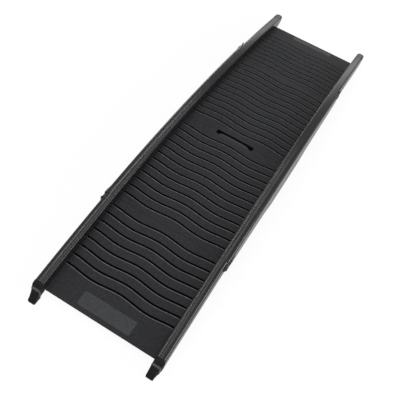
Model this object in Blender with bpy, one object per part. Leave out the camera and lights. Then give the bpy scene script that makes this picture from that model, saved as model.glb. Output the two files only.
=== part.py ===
"""Bi-fold dog ramp: an arched deck of four moulded panels between raised side rails.

World frame, metres: X across the ramp, Y along it, +Z up, the ground at Z = 0 and the fold at Y = 0.
Both halves are the same set of mouldings turned half a turn about Z, so each half is built in its own
frame (u across, s away from the fold, z up) and placed with turn = -1 for the near half, +1 for the far.
"""

import math

import bmesh
import bpy

# ---------------------------------------------------------------- overall sizes
RAMP_WIDTH = 0.400          # across the middle side rails
HALF_DECK = 0.7225          # fold to the end edge of the deck
END_REACH = 0.0455          # how far the feet and the rail tips reach past the deck's end edge
ARCH_RISE = 0.0628          # how much higher the deck is at the fold than at its ends
DECK_END_HEIGHT = 0.0158    # top of the deck at its end edges, above the ground
GAP = 0.0003                # clearance between touching pieces

# ---------------------------------------------------------------- deck panels
DECK_PLATE = 0.0035
DECK_SEAM = 0.399           # fold to the joint between a middle and an end panel
GROOVE_PITCH = 0.0300
GROOVE_WIDTH = 0.0032
GROOVE_DEPTH = 0.0014
FIRST_GROOVE = 0.0405       # mean distance of the first groove from the fold
MIDDLE_BLANK = 0.0200       # no groove this close to the panel joint
END_GROOVE_START = 0.0255   # mean distance of the end panel's first groove from the joint
END_BLANK = 0.0800          # plain strip at the deck's end edge
WAVE_HEIGHT = 0.0035
WAVE_COUNT = 2
WAVE_STEPS = 20
RIB_WIDTH = 0.0030
RIB_DEPTH_END = 0.0025
RIB_DEPTH_MIDDLE = 0.0180
RIB_SPACING = 0.0560
CROSS_RIB_SPACING = 0.0850
FIRST_CROSS_RIB = 0.0380    # fold to the first cross rib
LAST_CROSS_RIB = 0.0300     # deck's end edge to the last one
LONG_STEPS = 5              # stations along a rib, a flange or the plate's underside
FLANGE = 0.0030             # thickness of the deck's side flanges
FLANGE_DROP = 0.0120        # flange below the top of the deck
FLANGE_LIFT = 0.0010        # flange above the lower edge of the rail
BEAM_PAST_KNUCKLE = 0.0001  # wall closing each half at the fold: thicker than a knuckle's radius by this
FOLD_BEAM_BOTTOM = 0.0080

# ---------------------------------------------------------------- side rails
RAIL_HEIGHT = 0.0365        # rail top above the deck
RAIL_WALL = 0.0030
MIDDLE_RAIL_WIDTH = 0.0315
RAIL_STEP = 0.0038          # how much narrower the end rails are
RAIL_OVERLAP = 0.0210       # the rail joint, out from the panel joint
NEAR_RAIL_PAST = 0.0040     # near rails past the deck's end edge
FAR_RAIL_PAST = 0.0100      # far rails past the deck's end edge
INNER_WALL_DROP = 0.0140    # inner wall below the top of the deck
RAIL_CROWN = 0.0010         # how much the middle of a rail's top stands above its shoulders
OUTER_ROUND = 0.0075
INNER_ROUND = 0.0030
BELLY_FLAT = 0.090          # the outer walls run level this far from the fold
BELLY_SHOULDER = 0.180      # and have risen this far out
BELLY_HEIGHT = 0.0080
SHOULDER_HEIGHT = 0.0310
SEAM_WALL_DROP = 0.0119     # outer wall's lower edge below the deck at the rail joint
END_WALL_HEIGHT = 0.0120

# ---------------------------------------------------------------- hinges at the fold
HINGE_INSET = 0.0590        # middle of a hinge, in from the side rail
HINGE_LENGTH = 0.080
HINGE_CLEAR = 0.0007        # knuckles above the ground
HINGE_ROOM = 0.0040         # notch in the fold walls, past each end of a hinge
KNUCKLES = 5
KNUCKLE_RADIUS = 0.0055
PIN_RADIUS = 0.0026
PIN_HEAD_RADIUS = 0.0042
PIN_HEAD = 0.0020
LEAF_THICKNESS = 0.0026
LEAF_HEIGHT = 0.0300
LEAF_LIFT = 0.0006          # leaves above the hinge axis, so that they pass when folded
ROUND_STEPS = 16

# ---------------------------------------------------------------- hand slot and carry handle
SLOT_WIDTH = 0.132
SLOT_NEAR = 0.0110          # how far the slot reaches into the near half
SLOT_FAR = 0.0075           # and into the far half
SLOT_DEPTH = 0.0460
SLOT_ROUND = 0.0020
POCKET_WALL = 0.0020
POCKET_BACK_NEAR = 0.0260   # fold to the back wall of the pocket under the slot
POCKET_BACK_FAR = 0.0245
GRIP_LENGTH = 0.101
GRIP_HEIGHT = 0.0150
GRIP_BOW = 0.0035           # how much the grip's free edge falls back at its ends
GRIP_ROUND = 0.0032         # free edge
GRIP_EASE = 0.0010          # back edge
GRIP_CLEAR = 0.0006         # grip to the slot's edge and to the fold
HANDLE_ARM = 0.0070
ARM_HALF = 0.0045           # half an arm's width at the pin
ARM_END = 0.0050            # arm beyond the pin's axis
HANDLE_PIVOT_BACK = 0.0170  # pivot, back from the fold
HANDLE_PIVOT_DOWN = 0.0360  # pivot, down from the deck
HANDLE_PIN_RADIUS = 0.0020
HANDLE_PIN_PAST = 0.0020    # pin beyond the lugs
HANDLE_LUG = 0.0050
LUG_HALF = 0.0060           # half a lug's length
LUG_WEB_RISE = 0.0100       # web above the pin's axis

# ---------------------------------------------------------------- feet, tips and pads
FOOT_INSET = 0.0066         # outer side of a foot, inside the outer face of its rail
FOOT_SPREAD = 0.0006        # inner side of a foot, past the inner face of its rail
FOOT_PLANT = 0.0230         # length of the foot on the ground
PLUG_LENGTH = 0.0200
PLUG_LIFT = 0.0040          # plug above the deck
TIP_LIFT = 0.0020           # underside of a tip above the rail's lower edge
PAD_LENGTH = 0.0240
PAD_WIDTH = 0.0800
PAD_INSET = 0.0585          # middle of a pad, in from the side rail
PAD_BACK = 0.0020           # pad in from the deck's end edge

# ---------------------------------------------------------------- clips at the panel joints
CLIP_PIVOT = 0.0200         # pivot of a clip, out from the rail joint
CLIP_TIP = 0.0160           # tip of the lever, in from the rail joint
CLIP_HEIGHT = 0.0064
CLIP_DROP = 0.0105          # centre of the clip below the rail top
CLIP_THICKNESS = 0.0026     # lever beside the end rail
CLIP_OVER = 0.0018          # lever over the middle rail
CLIP_LIP = 0.0006           # finger lip at the tip
CLIP_LIP_LENGTH = 0.0035    # finger lip: how far its slope starts from the lever's tip
CLIP_LIP_CREST = 0.0015     # and how far its crest lies from it
CLIP_STAND = 0.0004         # lever clear of the rails
CLIP_FRAME = 0.0014         # lever above and below its window
CLIP_EYE = 0.0018
CLIP_PIN = 0.0008
CLIP_EAR = 0.0018
CLIP_EAR_HALF = 0.0035
CLIP_BASE = 0.0014
CLIP_BASE_HALF = 0.0045
CLIP_FLANGE = 0.0030        # base below the lower ear
CATCH_FACE = 0.0120         # hooking face of the catch, in from the rail joint
CATCH_LENGTH = 0.0050
CATCH_RISE = 0.0018
GUARD_LENGTH = 0.0270       # ramp in front of the lever's tip
GUARD_RISE = 0.0020

# ---------------------------------------------------------------- fasteners
SCREW_RADIUS = 0.0014
SCREW_HEAD = 0.0027
SCREW_HEAD_HEIGHT = 0.0017
SCREW_BITE = 0.0070         # shank beyond the piece that the screw goes through first
SCREW_STEPS = 10
RAIL_SCREW_DROP = 0.0066    # rail screws below the top of the deck
FIRST_RAIL_SCREW = 0.100    # fold to the first rail screw
SCREW_BEFORE_SEAM = 0.059   # second one, in from the panel joint
SCREW_PAST_SEAM = 0.061     # third one, out from the panel joint
LEAF_SCREW_SPREAD = 0.030
LEAF_SCREW_HEIGHT = 0.0280
SPLICE_LENGTH = 0.0460
SPLICE_THICKNESS = 0.0030
SPLICE_SIDE_ROOM = 0.0015   # splice clear of the flanges

# ---------------------------------------------------------------- sizes that follow from those
HALF_WIDTH = RAMP_WIDTH / 2 - MIDDLE_RAIL_WIDTH
END_RAIL_WIDTH = MIDDLE_RAIL_WIDTH - RAIL_STEP
RAIL_SEAM = DECK_SEAM + RAIL_OVERLAP
RAMP_REACH = HALF_DECK + END_REACH
RAIL_END = {"near": HALF_DECK + NEAR_RAIL_PAST, "far": HALF_DECK + FAR_RAIL_PAST}
SLOT_REACH = {"near": SLOT_NEAR, "far": SLOT_FAR}
POCKET_BACK = {"near": POCKET_BACK_NEAR, "far": POCKET_BACK_FAR}
HINGE_HEIGHT = KNUCKLE_RADIUS + HINGE_CLEAR
HINGE_PLACE = HALF_WIDTH - HINGE_INSET
FOLD_BEAM = KNUCKLE_RADIUS + BEAM_PAST_KNUCKLE
PAD_PLACE = HALF_WIDTH - PAD_INSET
RAIL_SCREW_PLACES = (FIRST_RAIL_SCREW, DECK_SEAM - SCREW_BEFORE_SEAM, DECK_SEAM + SCREW_PAST_SEAM)
TURN = {"near": -1, "far": 1}

MATERIALS = {
    "deck_plastic": ((0.040, 0.041, 0.044), 0.62, 0.0),
    "rail_plastic": ((0.052, 0.053, 0.056), 0.42, 0.0),
    "foot_rubber": ((0.018, 0.018, 0.019), 0.80, 0.0),
    "handle_plastic": ((0.046, 0.047, 0.050), 0.50, 0.0),
    "clip_plastic": ((0.022, 0.022, 0.024), 0.40, 0.0),
    "hinge_steel": ((0.42, 0.42, 0.43), 0.35, 1.0),
    "screw_steel": ((0.55, 0.55, 0.56), 0.30, 1.0),
}


# ---------------------------------------------------------------- helpers
def deck_height(s):
    """Top of the deck at a distance s from the fold."""
    return DECK_END_HEIGHT + ARCH_RISE * (1 - (s / HALF_DECK) ** 2)


def smooth(t):
    t = min(max(t, 0.0), 1.0)
    return t * t * (3 - 2 * t)


def wall_bottom(s):
    """Lower edge of the rails' outer walls: a belly at the fold, then along the arch."""
    seam_height = deck_height(RAIL_SEAM) - SEAM_WALL_DROP
    if s < BELLY_SHOULDER:
        share = smooth((s - BELLY_FLAT) / (BELLY_SHOULDER - BELLY_FLAT))
        return BELLY_HEIGHT + (SHOULDER_HEIGHT - BELLY_HEIGHT) * share
    if s < RAIL_SEAM:
        share = (s - BELLY_SHOULDER) / (RAIL_SEAM - BELLY_SHOULDER)
        return SHOULDER_HEIGHT + (seam_height - SHOULDER_HEIGHT) * share
    share = (s - RAIL_SEAM) / (HALF_DECK - RAIL_SEAM)
    return seam_height + (END_WALL_HEIGHT - seam_height) * share ** 1.1


def rib_depth(s):
    return RIB_DEPTH_END + RIB_DEPTH_MIDDLE * (1 - (s / HALF_DECK) ** 2)


def steps(start, stop, count):
    return [start + (stop - start) * i / count for i in range(count + 1)]


def material(name):
    found = bpy.data.materials.get(name)
    if found:
        return found
    colour, roughness, metallic = MATERIALS[name]
    made = bpy.data.materials.new(name)
    made.use_nodes = True
    shader = made.node_tree.nodes["Principled BSDF"]
    shader.inputs["Base Color"].default_value = (*colour, 1.0)
    shader.inputs["Roughness"].default_value = roughness
    shader.inputs["Metallic"].default_value = metallic
    made.diffuse_color = (*colour, 1.0)
    return made


def add_object(name, bm, finish, half=None):
    """Close a bmesh built in a half's frame into a named object, turned into its place."""
    if half:
        turn = TURN[half]
        for vert in bm.verts:
            vert.co.x *= turn
            vert.co.y *= turn
    bmesh.ops.recalc_face_normals(bm, faces=bm.faces)
    mesh = bpy.data.meshes.new(name)
    bm.to_mesh(mesh)
    bm.free()
    mesh.shade_smooth()
    mesh.set_sharp_from_angle(angle=math.radians(32))
    obj = bpy.data.objects.new(name, mesh)
    bpy.context.scene.collection.objects.link(obj)
    if finish:
        mesh.materials.append(material(finish))
    return obj


def add_cutter(name, bm, half=None):
    """A hidden solid that a Boolean reads."""
    obj = add_object(name, bm, None, half)
    obj.hide_render = True
    obj.display_type = "WIRE"
    return obj


def boolean(obj, other, operation):
    modifier = obj.modifiers.new(operation.title() + " " + other.name, "BOOLEAN")
    modifier.operation = operation
    modifier.object = other
    modifier.solver = "EXACT"


def add_box(bm, u0, u1, s0, s1, z0, z1):
    corners = [(u0, s0), (u1, s0), (u1, s1), (u0, s1)]
    low = [bm.verts.new((u, s, z0)) for u, s in corners]
    high = [bm.verts.new((u, s, z1)) for u, s in corners]
    bm.faces.new(list(reversed(low)))
    bm.faces.new(high)
    for i in range(4):
        j = (i + 1) % 4
        bm.faces.new((low[i], low[j], high[j], high[i]))


def add_sweep(bm, sections):
    """Skin a list of closed sections that all have the same number of points."""
    rings = [[bm.verts.new(point) for point in section] for section in sections]
    count = len(rings[0])
    for a, b in zip(rings, rings[1:]):
        for i in range(count):
            j = (i + 1) % count
            bm.faces.new((a[i], a[j], b[j], b[i]))
    bm.faces.new(list(reversed(rings[0])))
    bm.faces.new(rings[-1])


def add_rod(bm, centre, axis, radius, start, stop, count=ROUND_STEPS, bore=0.0):
    """A round rod along X, Y or Z (axis 0, 1 or 2), or a tube where it has a bore."""
    across = [i for i in range(3) if i != axis]

    def ring(r, along):
        verts = []
        for i in range(count):
            angle = 2 * math.pi * (i + 0.5) / count
            point = list(centre)
            point[axis] = along
            point[across[0]] += r * math.cos(angle)
            point[across[1]] += r * math.sin(angle)
            verts.append(bm.verts.new(point))
        return verts

    outer = [ring(radius, start), ring(radius, stop)]
    inner = [ring(bore, start), ring(bore, stop)] if bore else None
    for i in range(count):
        j = (i + 1) % count
        bm.faces.new((outer[0][i], outer[0][j], outer[1][j], outer[1][i]))
        if inner:
            bm.faces.new((inner[0][j], inner[0][i], inner[1][i], inner[1][j]))
            bm.faces.new((outer[0][j], outer[0][i], inner[0][i], inner[0][j]))
            bm.faces.new((outer[1][i], outer[1][j], inner[1][j], inner[1][i]))
    if not inner:
        bm.faces.new(list(reversed(outer[0])))
        bm.faces.new(outer[1])


# ---------------------------------------------------------------- deck panels
def groove_line(mean, u):
    phase = math.pi * WAVE_COUNT * u / HALF_WIDTH
    return mean - WAVE_HEIGHT * math.cos(phase)


def groove_places(first, last):
    """Mean distances of a panel's grooves from the fold, a pitch apart from the first one."""
    count = int((last - first) / GROOVE_PITCH) + 1
    return [first + GROOVE_PITCH * i for i in range(count)]


def add_deck_plate(bm, s0, s1, grooves):
    """The arched plate with wavy V grooves across its top."""
    half = HALF_WIDTH - GAP
    us = steps(-half, half, WAVE_STEPS)
    lines = [[(u, s0, deck_height(s0)) for u in us]]
    for mean in grooves:
        for offset, depth in ((-0.5, 0.0), (0.0, GROOVE_DEPTH), (0.5, 0.0)):
            line = []
            for u in us:
                s = groove_line(mean + offset * GROOVE_WIDTH, u)
                line.append((u, s, deck_height(s) - depth))
            lines.append(line)
    lines.append([(u, s1, deck_height(s1)) for u in us])
    top = [[bm.verts.new(point) for point in line] for line in lines]
    for a, b in zip(top, top[1:]):
        for i in range(WAVE_STEPS):
            bm.faces.new((a[i], a[i + 1], b[i + 1], b[i]))
    stations = steps(s0, s1, LONG_STEPS)
    low = [[bm.verts.new((u, s, deck_height(s) - DECK_PLATE)) for u in (-half, half)] for s in stations]
    for a, b in zip(low, low[1:]):
        bm.faces.new((a[1], a[0], b[0], b[1]))
    for column, side in ((0, 0), (-1, 1)):
        edge = [line[column] for line in top]
        under = [row[side] for row in low]
        bm.faces.new(edge + list(reversed(under)))
    bm.faces.new(top[0] + [low[0][1], low[0][0]])
    bm.faces.new(top[-1] + [low[-1][1], low[-1][0]])


def add_long_rib(bm, u, s0, s1):
    sections = []
    for s in steps(s0, s1, LONG_STEPS):
        high = deck_height(s) - DECK_PLATE / 2
        low = deck_height(s) - DECK_PLATE - rib_depth(s)
        u0, u1 = u - RIB_WIDTH / 2, u + RIB_WIDTH / 2
        sections.append([(u0, s, low), (u1, s, low), (u1, s, high), (u0, s, high)])
    add_sweep(bm, sections)


def add_flange(bm, side, s0, s1):
    """The deck's downturned edge, which the rail screws go through."""
    outer = HALF_WIDTH - GAP
    sections = []
    for s in steps(s0, s1, LONG_STEPS):
        high = deck_height(s) - DECK_PLATE / 2
        low = max(high - FLANGE_DROP + DECK_PLATE / 2, wall_bottom(s) + FLANGE_LIFT)
        low = min(low, deck_height(s) - DECK_PLATE * 1.1)
        u0, u1 = sorted((side * (outer - FLANGE), side * outer))
        sections.append([(u0, s, low), (u1, s, low), (u1, s, high), (u0, s, high)])
    add_sweep(bm, sections)


def add_cross_rib(bm, s, width=RIB_WIDTH):
    half = HALF_WIDTH - FLANGE / 2
    low = deck_height(s) - DECK_PLATE - rib_depth(s) * 0.95
    high = deck_height(s + width) - DECK_PLATE / 2
    add_box(bm, -half, half, s - width / 2, s + width / 2, low, high)


def union_ribs(name, ribs):
    """Join overlapping ribs into one hidden solid."""
    base = add_cutter(name + "_ribs", ribs[0])
    for number, rib in enumerate(ribs[1:]):
        boolean(base, add_cutter(f"{name}_rib_{number}", rib), "UNION")
    return base


def rib_set(long_ranges, cross_places, flange_range, half):
    """Rib solids: long ones (across, start, stop), cross ones by distance from the fold, and flanges."""
    solids = []
    for u, s0, s1 in long_ranges:
        bm = bmesh.new()
        add_long_rib(bm, u, s0, s1)
        solids.append(bm)
    for s in cross_places:
        bm = bmesh.new()
        add_cross_rib(bm, s)
        solids.append(bm)
    for side in (-1, 1):
        bm = bmesh.new()
        add_flange(bm, side, *flange_range)
        solids.append(bm)
    for bm in solids:
        for vert in bm.verts:
            vert.co.x *= TURN[half]
            vert.co.y *= TURN[half]
    return solids


def pocket_walls(half):
    """Floor, back and sides of the pocket that the carry handle swings in."""
    back = POCKET_BACK[half]
    floor = deck_height(0) - SLOT_DEPTH
    top = deck_height(back) - DECK_PLATE / 2
    side = SLOT_WIDTH / 2
    outer = side + POCKET_WALL
    under, root = floor - POCKET_WALL, floor - POCKET_WALL / 2
    boxes = [
        (-outer, outer, FOLD_BEAM / 2, back + POCKET_WALL, under, floor),
        (-outer, outer, back, back + POCKET_WALL, root, top),
        (-outer, -side, FOLD_BEAM / 2, back + POCKET_WALL / 2, root, top),
        (side, outer, FOLD_BEAM / 2, back + POCKET_WALL / 2, root, top),
    ]
    solids = []
    for box in boxes:
        bm = bmesh.new()
        add_box(bm, *box)
        for vert in bm.verts:
            vert.co.y *= TURN[half]
        solids.append(bm)
    return solids


def splice_room():
    return SPLICE_LENGTH / 2 + 2 * RIB_WIDTH


def slot_cutter(half):
    bm = bmesh.new()
    low = deck_height(0) - SLOT_DEPTH
    add_box(bm, -SLOT_WIDTH / 2, SLOT_WIDTH / 2, -0.01, SLOT_REACH[half], low, deck_height(0) + 0.02)
    bmesh.ops.bevel(
        bm,
        geom=[e for e in bm.edges if abs(e.verts[0].co.z - e.verts[1].co.z) > 0.01],
        offset=SLOT_ROUND,
        segments=3,
        profile=0.5,
        affect="EDGES",
    )
    return add_cutter(f"{half}_slot_cutter", bm, half)


def middle_panel(half):
    name = f"{half}_middle_panel"
    s0, s1 = GAP / 2, DECK_SEAM - GAP / 2
    bm = bmesh.new()
    add_deck_plate(bm, s0, s1, groove_places(FIRST_GROOVE, DECK_SEAM - MIDDLE_BLANK))
    panel = add_object(name, bm, "deck_plastic", half)

    rib_end = s1 - splice_room()
    places = steps(FIRST_CROSS_RIB, rib_end, round((rib_end - FIRST_CROSS_RIB) / CROSS_RIB_SPACING))
    edge = RIB_WIDTH / 3
    ranges = []
    for i in range(-2, 3):
        start = s0 + FOLD_BEAM / 2 if abs(i) == 2 else FIRST_CROSS_RIB - edge
        ranges.append((i * RIB_SPACING, start, rib_end + edge))
    solids = rib_set(ranges, places, (s0, s1), half)

    beam = bmesh.new()
    side = HALF_WIDTH - GAP
    add_box(beam, -side, side, s0, s0 + FOLD_BEAM, FOLD_BEAM_BOTTOM, deck_height(0) - DECK_PLATE / 2)
    for vert in beam.verts:
        vert.co.y *= TURN[half]
    solids.append(beam)
    solids += pocket_walls(half)
    if half == "near":
        solids += handle_lugs()
    boolean(panel, union_ribs(name, solids), "UNION")
    boolean(panel, slot_cutter(half), "DIFFERENCE")
    for side in (-1, 1):
        notch = bmesh.new()
        u = side * HINGE_PLACE
        room = HINGE_LENGTH / 2 + HINGE_ROOM
        high = HINGE_HEIGHT + KNUCKLE_RADIUS + 2 * GAP
        add_box(notch, u - room, u + room, -0.01, FOLD_BEAM * 2, 0.0, high)
        boolean(panel, add_cutter(f"{name}_hinge_notch_{side}", notch, half), "DIFFERENCE")
    if half == "near":
        bore = bmesh.new()
        reach = GRIP_LENGTH / 2 + 2 * HANDLE_LUG
        add_rod(bore, handle_pivot(), 0, HANDLE_PIN_RADIUS + GAP, -reach, reach)
        boolean(panel, add_cutter("handle_pin_bore", bore), "DIFFERENCE")
    boolean(panel, rail_screw_cutter(name, half, s0, s1), "DIFFERENCE")
    boolean(panel, leaf_screw_cutter(name, half), "DIFFERENCE")
    return panel


def end_panel(half):
    name = f"{half}_end_panel"
    s0, s1 = DECK_SEAM + GAP / 2, HALF_DECK
    bm = bmesh.new()
    add_deck_plate(bm, s0, s1, groove_places(DECK_SEAM + END_GROOVE_START, HALF_DECK - END_BLANK))
    panel = add_object(name, bm, "deck_plastic", half)
    rib_start = s0 + splice_room()
    rib_end = s1 - LAST_CROSS_RIB
    places = steps(rib_start, rib_end, round((rib_end - rib_start) / CROSS_RIB_SPACING))
    edge = RIB_WIDTH / 3
    ranges = [(i * RIB_SPACING, rib_start - edge, rib_end + edge) for i in range(-2, 3)]
    boolean(panel, union_ribs(name, rib_set(ranges, places, (s0, s1), half)), "UNION")
    boolean(panel, rail_screw_cutter(name, half, s0, s1), "DIFFERENCE")
    return panel


# ---------------------------------------------------------------- side rails
def rail_section(s, width, side):
    """Cross-section of a rail: an upside-down channel with a short inner and a deep outer wall."""
    top = deck_height(s) + RAIL_HEIGHT
    outer_bottom = wall_bottom(s)
    inner_bottom = max(deck_height(s) - INNER_WALL_DROP, outer_bottom)
    wall = RAIL_WALL
    shoulder = top - RAIL_CROWN
    turn = OUTER_ROUND * 0.3
    inner_turn = INNER_ROUND * 0.3
    profile = [
        (0.0, inner_bottom),
        (0.0, shoulder - INNER_ROUND),
        (inner_turn, shoulder - inner_turn),
        (INNER_ROUND, shoulder),
        (width / 2, top),
        (width - OUTER_ROUND, shoulder),
        (width - turn, shoulder - turn),
        (width, shoulder - OUTER_ROUND),
        (width, outer_bottom),
        (width - wall, outer_bottom),
        (width - wall, shoulder - OUTER_ROUND - wall * 0.4),
        (width - OUTER_ROUND - wall * 0.4, shoulder - wall),
        (wall + INNER_ROUND, shoulder - wall),
        (wall, shoulder - wall - INNER_ROUND),
        (wall, inner_bottom),
    ]
    return [(side * (HALF_WIDTH + u), s, z) for u, z in profile]


def rail_end_plate(s0, width, side):
    """The wall that closes a rail at the fold."""
    sections = []
    for s in (s0, s0 + RAIL_WALL):
        outline = rail_section(s, width, side)[:9]
        corner = (outline[0][0], s, outline[8][2])
        sections.append(outline + [corner])
    bm = bmesh.new()
    add_sweep(bm, sections)
    return bm


def half_side(half, side):
    return "right" if side * TURN[half] > 0 else "left"


def middle_rail(half, side):
    name = f"{half}_middle_rail_{half_side(half, side)}"
    s0, s1 = GAP / 2, RAIL_SEAM - GAP / 2
    level = [s0, BELLY_FLAT]
    bend = steps(BELLY_FLAT, BELLY_SHOULDER, 5)[1:]
    slope = steps(BELLY_SHOULDER, s1, 4)[1:]
    bm = bmesh.new()
    add_sweep(bm, [rail_section(s, MIDDLE_RAIL_WIDTH, side) for s in level + bend + slope])
    rail = add_object(name, bm, "rail_plastic", half)
    plate = rail_end_plate(s0, MIDDLE_RAIL_WIDTH, side)
    boolean(rail, add_cutter(name + "_end", plate, half), "UNION")

    z = clip_pivot(side)[2]
    catch_s = RAIL_SEAM - CATCH_FACE
    guard_s = RAIL_SEAM - CLIP_TIP - 2 * CLIP_STAND
    half_catch = CLIP_HEIGHT / 2 - CLIP_FRAME - CLIP_STAND
    ramps = (("catch", catch_s, catch_s + CATCH_LENGTH, CATCH_RISE, half_catch),
             ("guard", guard_s, guard_s - GUARD_LENGTH, GUARD_RISE, CLIP_HEIGHT / 2))
    for part, high_s, low_s, rise, tall in ramps:
        ramp = bmesh.new()
        root, face = side * (RAMP_WIDTH / 2 - RAIL_WALL / 3), side * (RAMP_WIDTH / 2 + rise)
        triangle = [(root, high_s), (face, high_s), (root, low_s)]
        add_sweep(ramp, [[(u, s, z + h) for u, s in triangle] for h in (-tall, tall)])
        boolean(rail, add_cutter(f"{name}_{part}", ramp, half), "UNION")
    boolean(rail, rail_screw_cutter(name, half, s0, s1), "DIFFERENCE")
    return rail


def end_rail(half, side):
    name = f"{half}_end_rail_{half_side(half, side)}"
    stop = RAIL_END[half]
    bm = bmesh.new()
    stations = steps(RAIL_SEAM + GAP / 2, stop, 7)
    add_sweep(bm, [rail_section(s, END_RAIL_WIDTH, side) for s in stations])
    rail = add_object(name, bm, "rail_plastic", half)
    boolean(rail, rail_screw_cutter(name, half, RAIL_SEAM, stop), "DIFFERENCE")
    return rail


# ---------------------------------------------------------------- feet, tips and pads
def tip_section(s, low, high, u0, u1, side, soft):
    """A section of a foot or a rail tip with its upper corners rounded."""
    points = [(u0, low), (u1, low), (u1, high - soft), (u1 - soft * 0.3, high - soft * 0.3),
              (u1 - soft, high), (u0 + soft, high), (u0 + soft * 0.3, high - soft * 0.3), (u0, high - soft)]
    return [(side * (HALF_WIDTH + u), s, z) for u, z in points]


def plug(s0, side):
    """The tongue that holds a foot or tip inside the end of its rail."""
    bm = bmesh.new()
    deck = deck_height(s0)
    u0, u1 = RAIL_WALL + GAP * 2, END_RAIL_WIDTH - RAIL_WALL - GAP * 2
    low, high = deck + PLUG_LIFT, deck + RAIL_HEIGHT - RAIL_CROWN - RAIL_WALL - OUTER_ROUND - GAP
    drop = deck_height(s0 - PLUG_LENGTH) - deck
    sections = []
    for s, rise in ((s0 - PLUG_LENGTH, drop * 0.5), (s0 + 0.002, 0.0)):
        section = [(u0, low + rise), (u1, low + rise), (u1, high + rise), (u0, high + rise)]
        sections.append([(side * (HALF_WIDTH + u), s, z) for u, z in section])
    add_sweep(bm, sections)
    return bm


def near_foot(side):
    """Rubber boot on the rail's end: it rolls over the end and slants down to the ground."""
    name = f"near_foot_{half_side('near', side)}"
    s0 = RAIL_END["near"] + GAP
    top = deck_height(s0) + RAIL_HEIGHT
    heel = RAMP_REACH - FOOT_PLANT
    stations = [
        (s0, 0.0110, top, 0.0, 0.0060),
        (s0 + 0.006, 0.0100, top - 0.001, 0.0, 0.0060),
        (s0 + 0.012, 0.0080, top - 0.005, 0.1, 0.0060),
        (heel - 0.0005, 0.0060, top - 0.0165, 0.45, 0.0045),
        (heel, 0.0, top - 0.0170, 0.45, 0.0045),
        (heel + 0.006, 0.0, top - 0.0260, 0.75, 0.0040),
        (RAMP_REACH - 0.007, 0.0, 0.0140, 1.0, 0.0030),
        (RAMP_REACH, 0.0, 0.0060, 1.0, 0.0020),
    ]
    sections = []
    for s, low, high, share, soft in stations:
        inner, outer = -FOOT_SPREAD * share, END_RAIL_WIDTH - FOOT_INSET * share
        sections.append(tip_section(s, low, high, inner, outer, side, soft))
    bm = bmesh.new()
    add_sweep(bm, sections)
    foot = add_object(name, bm, "foot_rubber", "near")
    boolean(foot, add_cutter(name + "_plug", plug(s0, side), "near"), "UNION")
    return foot


def far_tip(side):
    """Nose on the rail's end: level on top, with its underside sweeping up."""
    name = f"far_tip_{half_side('far', side)}"
    s0 = RAIL_END["far"] + GAP
    reach = RAMP_REACH - s0
    sections = []
    stations = [
        (0.00, 0.0000, 0.0000, 0.0000),
        (0.35, 0.0060, 0.0000, 0.0000),
        (0.65, 0.0140, 0.0000, 0.0006),
        (0.85, 0.0200, 0.0010, 0.0020),
        (0.96, 0.0235, 0.0035, 0.0045),
        (1.00, 0.0262, 0.0062, 0.0070),
    ]
    for share, low, high, tuck in stations:
        s = s0 + reach * share
        top = deck_height(s) + RAIL_HEIGHT - high
        bottom = wall_bottom(s0) + TIP_LIFT + low
        soft = OUTER_ROUND * 0.8 * (1 - share * 0.4)
        sections.append(tip_section(s, bottom, top, tuck, END_RAIL_WIDTH - tuck, side, soft))
    bm = bmesh.new()
    add_sweep(bm, sections)
    tip = add_object(name, bm, "rail_plastic", "far")
    boolean(tip, add_cutter(name + "_plug", plug(s0, side), "far"), "UNION")
    return tip


def far_pad(side):
    """Rubber pad under the far end, which it carries on the ground."""
    name = f"far_pad_{half_side('far', side)}"
    s1 = HALF_DECK - PAD_BACK
    s0 = s1 - PAD_LENGTH
    u0, u1 = side * PAD_PLACE - PAD_WIDTH / 2, side * PAD_PLACE + PAD_WIDTH / 2
    sections = []
    for s in (s0, s1):
        high = deck_height(s) - DECK_PLATE - GAP
        sections.append([(u0, s, 0.0), (u1, s, 0.0), (u1, s, high), (u0, s, high)])
    bm = bmesh.new()
    add_sweep(bm, sections)
    return add_object(name, bm, "foot_rubber", "far")


# ---------------------------------------------------------------- fold hinges
def knuckle_spans(half):
    """Along a hinge, the near leaf has the odd knuckles and the far leaf the even ones."""
    length = HINGE_LENGTH / KNUCKLES
    spans = []
    for i in range(KNUCKLES):
        if (i % 2 == 0) == (half == "near"):
            start = -HINGE_LENGTH / 2 + i * length
            spans.append((start + GAP / 2, start + length - GAP / 2))
    return spans


def hinge_leaf(half, side):
    place = side * HINGE_PLACE
    name = f"{half}_hinge_leaf_{'right' if side > 0 else 'left'}"
    turn = TURN[half]
    behind = GAP / 2 + FOLD_BEAM + GAP
    bm = bmesh.new()
    back = [behind, behind + LEAF_THICKNESS]
    low = HINGE_HEIGHT + LEAF_LIFT
    add_box(bm, place - HINGE_LENGTH / 2, place + HINGE_LENGTH / 2, turn * back[0], turn * back[1],
            low, FOLD_BEAM_BOTTOM + LEAF_HEIGHT)
    leaf = add_object(name, bm, "hinge_steel")
    for number, (x0, x1) in enumerate(knuckle_spans(half)):
        web = bmesh.new()
        add_box(web, place + x0, place + x1, 0.0, turn * (back[0] + GAP), low, low + LEAF_THICKNESS)
        boolean(leaf, add_cutter(f"{name}_web_{number}", web), "UNION")
        barrel = bmesh.new()
        add_rod(barrel, (0, 0, HINGE_HEIGHT), 0, KNUCKLE_RADIUS, place + x0, place + x1)
        boolean(leaf, add_cutter(f"{name}_barrel_{number}", barrel), "UNION")
    bore = bmesh.new()
    reach = HINGE_LENGTH
    add_rod(bore, (0, 0, HINGE_HEIGHT), 0, PIN_RADIUS + GAP, place - reach, place + reach)
    boolean(leaf, add_cutter(name + "_bore", bore), "DIFFERENCE")
    boolean(leaf, leaf_screw_cutter(name, half), "DIFFERENCE")
    return leaf


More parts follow.
